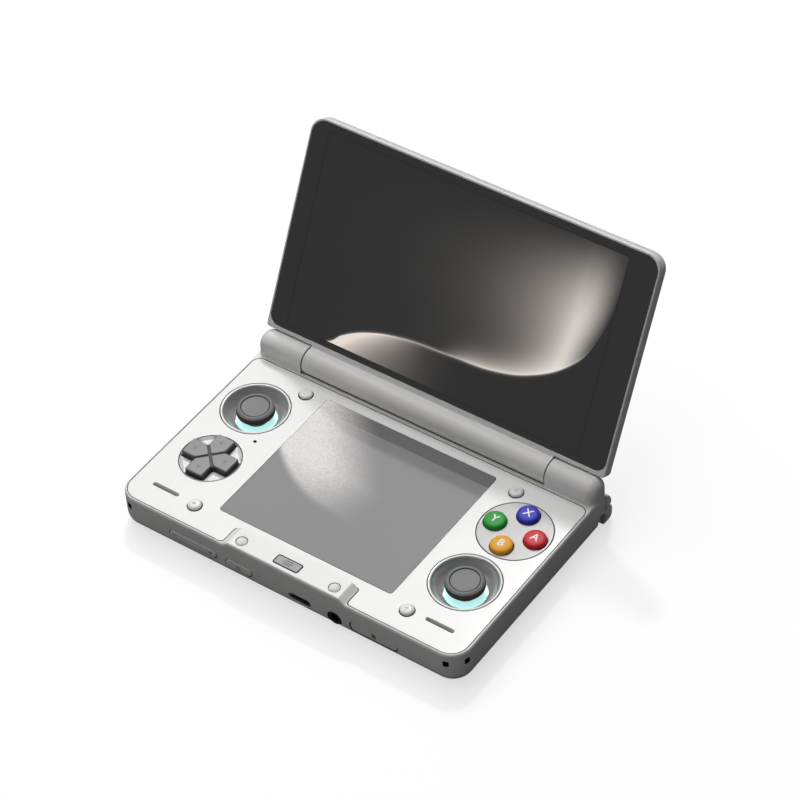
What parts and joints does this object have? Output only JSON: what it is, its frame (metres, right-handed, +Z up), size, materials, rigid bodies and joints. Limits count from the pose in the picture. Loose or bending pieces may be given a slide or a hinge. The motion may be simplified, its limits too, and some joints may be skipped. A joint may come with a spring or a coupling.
{
  "type": "handheld game console",
  "caption": "Folding handheld game console with a screen in each half, thumbsticks, a direction pad, face buttons and shoulder triggers.",
  "frame": {"origin": "in the flat underside, straight below the middle of the lower screen", "axes": "+X to the player's right along the hinge, +Y away from the player, +Z up out of the face plate"},
  "size_m": [0.1494, 0.1365, 0.0978],
  "materials": {
    "shell": "satin",
    "white_face": "matte",
    "steel": "brushed",
    "rubber": "matte",
    "lid_rest": "matte",
    "screen_glass": "polished",
    "display": "satin",
    "circuit_board": "satin",
    "black_plastic": "matte",
    "light_ring": "glowing",
    "stick_grip": "matte",
    "dpad_grey": "matte",
    "menu_grey": "matte",
    "button_a": "gloss",
    "button_b": "gloss",
    "button_x": "gloss",
    "button_y": "gloss"
  },
  "bodies": {
    "base": {"base_frame": "shell", "bottom_cover": "shell", "face_plate": "white_face", "lower_glass": "screen_glass", "lower_display": "display", "stick_well_left": "white_face", "stick_well_right": "white_face", "light_ring_left": "light_ring", "light_ring_right": "light_ring", "stick_module_left": "steel", "stick_module_right": "steel", "main_board": "circuit_board", "battery": "black_plastic", "fan_housing": "black_plastic", "speaker_left": "black_plastic", "speaker_right": "black_plastic", "usb_port": "steel", "headphone_jack": "black_plastic", "hinge_clutch_left": "steel", "hinge_clutch_right": "steel", "foot_front": "rubber", "foot_rear_left": "rubber", "foot_rear_right": "rubber", "screw_1": "steel", "screw_2": "steel", "screw_3": "steel", "screw_4": "steel", "dpad_membrane": "rubber", "button_membrane": "rubber", "lid_rest_left": "lid_rest", "lid_rest_right": "lid_rest"},
    "lid": {"lid_frame": "shell", "lid_cover": "shell", "lid_glass": "screen_glass", "upper_display": "display"},
    "fan": {"fan_rotor": "black_plastic"},
    "yoke_left": {"stick_yoke_left": "steel"},
    "gimbal_left": {"stick_pivot_left": "steel"},
    "stick_left": {"stick_cap_left": "stick_grip"},
    "yoke_right": {"stick_yoke_right": "steel"},
    "gimbal_right": {"stick_pivot_right": "steel"},
    "stick_right": {"stick_cap_right": "stick_grip"},
    "dpad_rocker": {"dpad_pivot": "rubber"},
    "dpad": {"dpad": "dpad_grey"},
    "button_a": {"button_a": "button_a"},
    "button_b": {"button_b": "button_b"},
    "button_x": {"button_x": "button_x"},
    "button_y": {"button_y": "button_y"},
    "small_button_rear_left": {"small_button_rear_left": "white_face"},
    "small_button_rear_right": {"small_button_rear_right": "white_face"},
    "small_button_front_left": {"small_button_front_left": "white_face"},
    "small_button_front_right": {"small_button_front_right": "white_face"},
    "menu_key": {"menu_key": "menu_grey"},
    "power_button": {"power_button": "shell"},
    "volume_rocker": {"volume_rocker": "shell"},
    "card_door": {"card_door": "shell"},
    "bumper_left": {"bumper_left": "shell"},
    "trigger_left": {"trigger_left": "shell"},
    "bumper_right": {"bumper_right": "shell"},
    "trigger_right": {"trigger_right": "shell"}
  },
  "joints": [
    {"name": "lid_hinge", "type": "hinge", "parent": "base", "child": "lid", "pos_m": [0, 0.04339, 0.01831], "axis": [1, 0, 0], "range_deg": [-32, 117.9]},
    {"name": "fan_spin", "type": "hinge", "parent": "base", "child": "fan", "pos_m": [0, 0.025, 0.0052], "axis": [0, 0, 1], "continuous": true},
    {"name": "stick_left_lean_front_back", "type": "hinge", "parent": "base", "child": "yoke_left", "pos_m": [-0.05736, 0.0147, 0.0073], "axis": [1, 0, 0], "range_deg": [-11, 11], "stiffness_Nm_per_rad": 0.02},
    {"name": "stick_left_lean_sideways", "type": "hinge", "parent": "yoke_left", "child": "gimbal_left", "pos_m": [-0.05736, 0.0147, 0.0073], "axis": [0, 1, 0], "range_deg": [-11, 11], "stiffness_Nm_per_rad": 0.02},
    {"name": "stick_left_click", "type": "slide", "parent": "gimbal_left", "child": "stick_left", "axis": [0, 0, -1], "range_m": [0, 0.0005], "stiffness_N_per_m": 3000},
    {"name": "stick_right_lean_front_back", "type": "hinge", "parent": "base", "child": "yoke_right", "pos_m": [0.05596, -0.0144, 0.0073], "axis": [1, 0, 0], "range_deg": [-11, 11], "stiffness_Nm_per_rad": 0.02},
    {"name": "stick_right_lean_sideways", "type": "hinge", "parent": "yoke_right", "child": "gimbal_right", "pos_m": [0.05596, -0.0144, 0.0073], "axis": [0, 1, 0], "range_deg": [-11, 11], "stiffness_Nm_per_rad": 0.02},
    {"name": "stick_right_click", "type": "slide", "parent": "gimbal_right", "child": "stick_right", "axis": [0, 0, -1], "range_m": [0, 0.0005], "stiffness_N_per_m": 3000},
    {"name": "dpad_lean_front_back", "type": "hinge", "parent": "base", "child": "dpad_rocker", "pos_m": [-0.05571, -0.01444, 0.013], "axis": [1, 0, 0], "range_deg": [-2.5, 2.5], "stiffness_Nm_per_rad": 0.08},
    {"name": "dpad_lean_sideways", "type": "hinge", "parent": "dpad_rocker", "child": "dpad", "pos_m": [-0.05571, -0.01444, 0.013], "axis": [0, 1, 0], "range_deg": [-2.5, 2.5], "stiffness_Nm_per_rad": 0.08},
    {"name": "button_a_press", "type": "slide", "parent": "base", "child": "button_a", "axis": [0, 0, -1], "range_m": [0, 0.001], "stiffness_N_per_m": 700},
    {"name": "button_b_press", "type": "slide", "parent": "base", "child": "button_b", "axis": [0, 0, -1], "range_m": [0, 0.001], "stiffness_N_per_m": 700},
    {"name": "button_x_press", "type": "slide", "parent": "base", "child": "button_x", "axis": [0, 0, -1], "range_m": [0, 0.001], "stiffness_N_per_m": 700},
    {"name": "button_y_press", "type": "slide", "parent": "base", "child": "button_y", "axis": [0, 0, -1], "range_m": [0, 0.001], "stiffness_N_per_m": 700},
    {"name": "small_button_rear_left_press", "type": "slide", "parent": "base", "child": "small_button_rear_left", "axis": [0, 0, -1], "range_m": [0, 0.0005], "stiffness_N_per_m": 1500},
    {"name": "small_button_rear_right_press", "type": "slide", "parent": "base", "child": "small_button_rear_right", "axis": [0, 0, -1], "range_m": [0, 0.0005], "stiffness_N_per_m": 1500},
    {"name": "small_button_front_left_press", "type": "slide", "parent": "base", "child": "small_button_front_left", "axis": [0, 0, -1], "range_m": [0, 0.0005], "stiffness_N_per_m": 1500},
    {"name": "small_button_front_right_press", "type": "slide", "parent": "base", "child": "small_button_front_right", "axis": [0, 0, -1], "range_m": [0, 0.0005], "stiffness_N_per_m": 1500},
    {"name": "menu_key_press", "type": "slide", "parent": "base", "child": "menu_key", "axis": [0, 0, -1], "range_m": [0, 0.0004], "stiffness_N_per_m": 1500},
    {"name": "power_button_press", "type": "slide", "parent": "base", "child": "power_button", "axis": [0, 1, 0], "range_m": [0, 0.0004], "stiffness_N_per_m": 2000},
    {"name": "volume_rocker_tilt", "type": "hinge", "parent": "base", "child": "volume_rocker", "pos_m": [-0.04005, -0.0439, 0.0075], "axis": [0, 0, 1], "range_deg": [-1.2, 1.2], "stiffness_Nm_per_rad": 0.2},
    {"name": "card_door_pull", "type": "slide", "parent": "base", "child": "card_door", "axis": [0, -1, 0], "range_m": [0, 0.006]},
    {"name": "bumper_left_press", "type": "slide", "parent": "base", "child": "bumper_left", "axis": [0, -1, 0], "range_m": [0, 0.0005], "stiffness_N_per_m": 2500},
    {"name": "trigger_left_pull", "type": "hinge", "parent": "base", "child": "trigger_left", "pos_m": [-0.0637, 0.0465, 0.0056], "axis": [-1, 0, 0], "range_deg": [0, 10], "stiffness_Nm_per_rad": 0.15},
    {"name": "bumper_right_press", "type": "slide", "parent": "base", "child": "bumper_right", "axis": [0, -1, 0], "range_m": [0, 0.0005], "stiffness_N_per_m": 2500},
    {"name": "trigger_right_pull", "type": "hinge", "parent": "base", "child": "trigger_right", "pos_m": [0.0637, 0.0465, 0.0056], "axis": [-1, 0, 0], "range_deg": [0, 10], "stiffness_Nm_per_rad": 0.15}
  ]
}
